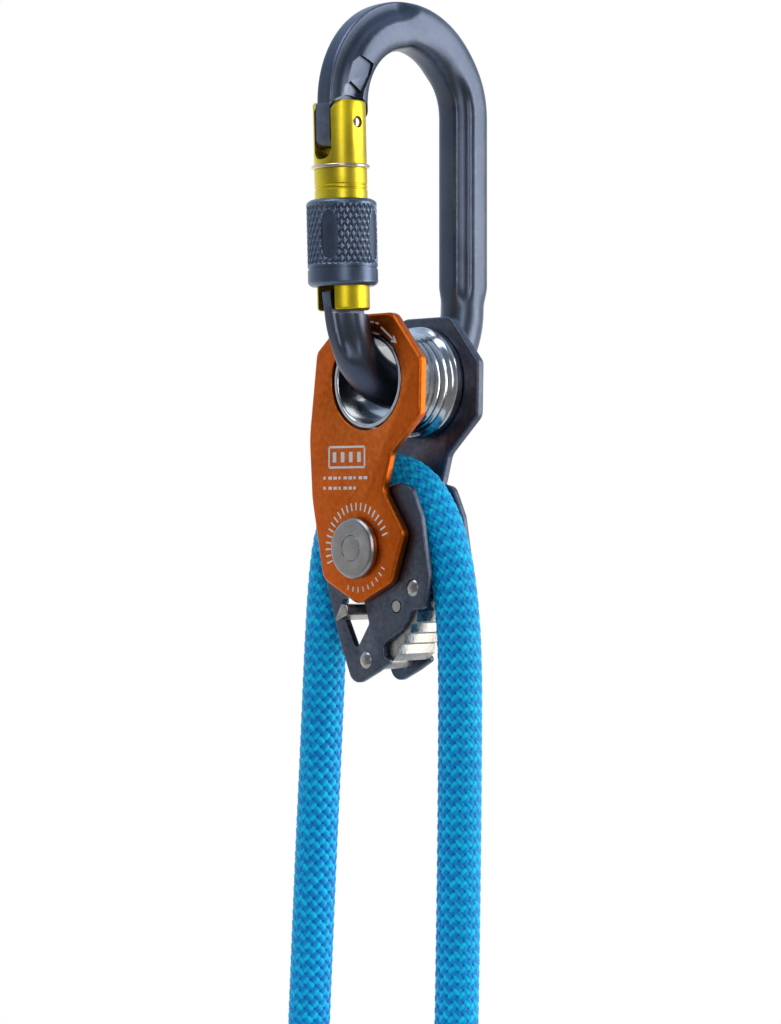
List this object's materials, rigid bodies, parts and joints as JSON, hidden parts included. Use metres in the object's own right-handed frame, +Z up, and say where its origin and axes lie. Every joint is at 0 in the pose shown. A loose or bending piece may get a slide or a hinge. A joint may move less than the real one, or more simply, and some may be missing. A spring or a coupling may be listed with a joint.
{
  "type": "rope clamp pulley on a carabiner",
  "caption": "Hand-sized rope clamp with a toothed cam and sheave between two plates, hung by its eye on an oval screw-gate carabiner, with a braided rope over the sheave.",
  "frame": {"origin": "middle of the inside of the carabiner's crown, where it bears on what it hangs from", "axes": "+Z up, X across the clamp's plates with the toothed cam on +X, -Y the orange front plate's side; the carabiner lies in the plane X = 0"},
  "size_m": [0.0672, 0.0584, 0.2767],
  "materials": {
    "blue_grey_anodised": "satin anodised",
    "yellow_anodised": "satin anodised",
    "orange_anodised": "satin anodised",
    "grey_anodised": "satin anodised",
    "polished_steel": "polished",
    "brushed_steel": "turned",
    "spring_wire": "drawn wire",
    "cast_steel": "blasted casting",
    "bronze": "turned",
    "black_polymer": "moulded",
    "rope_sheath": "braided nylon",
    "rope_seal": "heat-shrunk"
  },
  "bodies": {
    "carabiner": {"carabiner_body": "blue_grey_anodised", "gate_hinge_rivet": "brushed_steel"},
    "gate": {"gate_barrel": "yellow_anodised", "gate_plunger": "brushed_steel", "gate_spring": "spring_wire", "stop_ring": "spring_wire"},
    "sleeve": {"lock_sleeve": "blue_grey_anodised"},
    "clamp": {"back_plate": "grey_anodised", "eye_liner": "polished_steel", "main_axle": "brushed_steel", "axle_cap": "polished_steel", "axle_bush": "bronze", "washer_front": "black_polymer", "washer_rear": "black_polymer", "cam_spring": "spring_wire", "rope": "rope_sheath", "rope_end_left": "rope_seal", "rope_end_right": "rope_seal"},
    "roller": {"eye_roller": "polished_steel"},
    "front_plate": {"front_plate": "orange_anodised"},
    "sheave": {"rope_sheave": "grey_anodised"},
    "cam_frame": {"cam_plate_front": "grey_anodised", "cam_plate_rear": "grey_anodised", "toothed_cam": "cast_steel", "cam_rivet_upper": "polished_steel", "cam_rivet_lower": "polished_steel", "cam_spacer_lower": "brushed_steel", "cam_pin": "brushed_steel"},
    "catch": {"catch_bar": "cast_steel"}
  },
  "joints": [
    {"name": "gate_open", "type": "hinge", "parent": "carabiner", "child": "gate", "pos_m": [0, -0.02094, -0.0207], "axis": [1, 0, 0], "range_deg": [0, 20], "stiffness_Nm_per_rad": 0.04, "springref_deg": -20.05},
    {"name": "sleeve_travel", "type": "slide", "parent": "gate", "child": "sleeve", "axis": [0, -0.0314, 0.9995], "range_m": [-0.0045, 0.0075]},
    {"name": "clamp_swing", "type": "hinge", "parent": "carabiner", "child": "clamp", "pos_m": [0, 0, -0.0847], "axis": [0, 1, 0], "range_deg": [-10, 10]},
    {"name": "roller_spin", "type": "hinge", "parent": "clamp", "child": "roller", "pos_m": [0, 0, -0.0847], "axis": [0, 1, 0], "continuous": true},
    {"name": "front_plate_open", "type": "hinge", "parent": "clamp", "child": "front_plate", "pos_m": [-0.0031, 0, -0.1272], "axis": [0, 1, 0], "range_deg": [0, 0.8]},
    {"name": "sheave_spin", "type": "hinge", "parent": "clamp", "child": "sheave", "pos_m": [-0.0031, 0, -0.1272], "axis": [0, 1, 0], "continuous": true},
    {"name": "cam_swing", "type": "hinge", "parent": "clamp", "child": "cam_frame", "pos_m": [-0.0031, 0, -0.1272], "axis": [0, -1, 0], "range_deg": [-12, 4], "stiffness_Nm_per_rad": 0.15},
    {"name": "catch_slide", "type": "slide", "parent": "cam_frame", "child": "catch", "axis": [0.4671, 0, -0.8842], "range_m": [0, 0.003], "stiffness_N_per_m": 40, "springref_m": -0.002}
  ]
}
